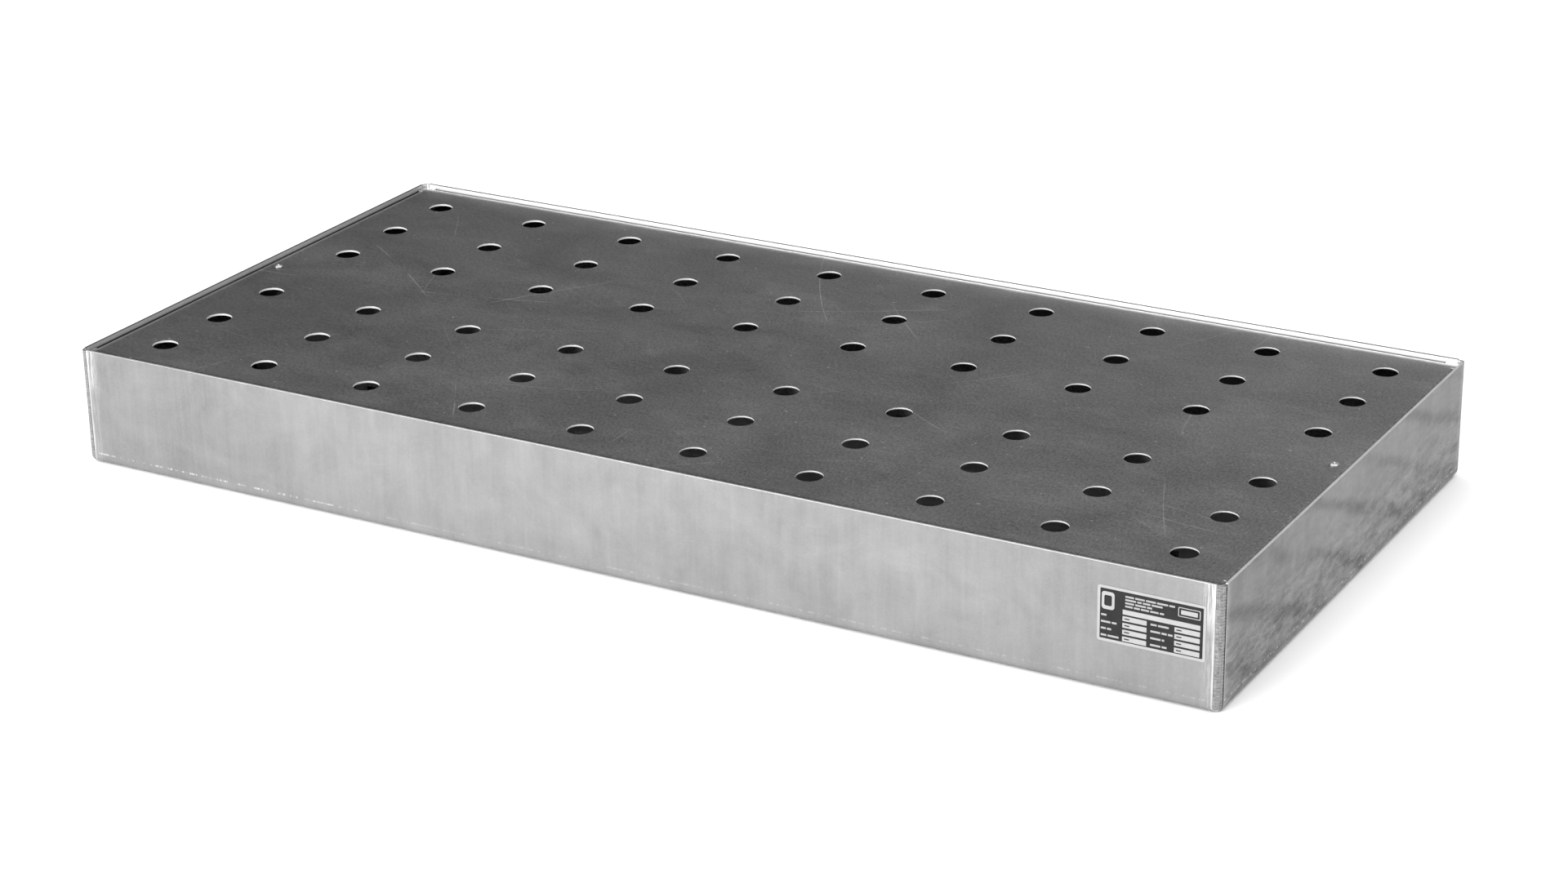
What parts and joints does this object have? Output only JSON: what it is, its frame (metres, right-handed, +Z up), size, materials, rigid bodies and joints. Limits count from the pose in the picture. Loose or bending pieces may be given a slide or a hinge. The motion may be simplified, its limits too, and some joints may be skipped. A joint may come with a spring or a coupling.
{
  "type": "spill tray",
  "caption": "Low folded sheet-steel spill tray with welded corners and a lift-out perforated deck that small containers stand on, above the sump that catches what drips.",
  "frame": {"origin": "middle of the underside of the tray floor", "axes": "+X along the tray's length towards the end with the type plate, -Y out of the front wall that carries the type plate, +Z up out of the tray"},
  "size_m": [1.001, 0.491, 0.098],
  "materials": {
    "tray_sheet": "galvanised sheet, pale grey, cloudy and finely streaked",
    "weld_bead": "rippled weld bead, brushed and zinc coated",
    "type_plate_film": "printed film, dark panel with pale border and fields",
    "deck_sheet": "dark grey galvanised sheet, semi-gloss, with faint scratches",
    "support_sheet": "galvanised sheet, satin",
    "rivet_shell": "bright, satin",
    "rivet_pin": "broken steel pin, dull"
  },
  "bodies": {
    "tray": {"tray_pan": "tray_sheet", "weld_front_left": "weld_bead", "weld_front_right": "weld_bead", "weld_back_left": "weld_bead", "weld_back_right": "weld_bead", "type_plate": "type_plate_film"},
    "deck": {"perforated_deck": "deck_sheet", "centre_support": "support_sheet", "rivet_body_left": "rivet_shell", "rivet_body_right": "rivet_shell", "rivet_mandrel_left": "rivet_pin", "rivet_mandrel_right": "rivet_pin"}
  },
  "joints": [
    {"name": "deck_lift", "type": "slide", "parent": "tray", "child": "deck", "axis": [0, 0, 1], "range_m": [0, 0.16]}
  ]
}
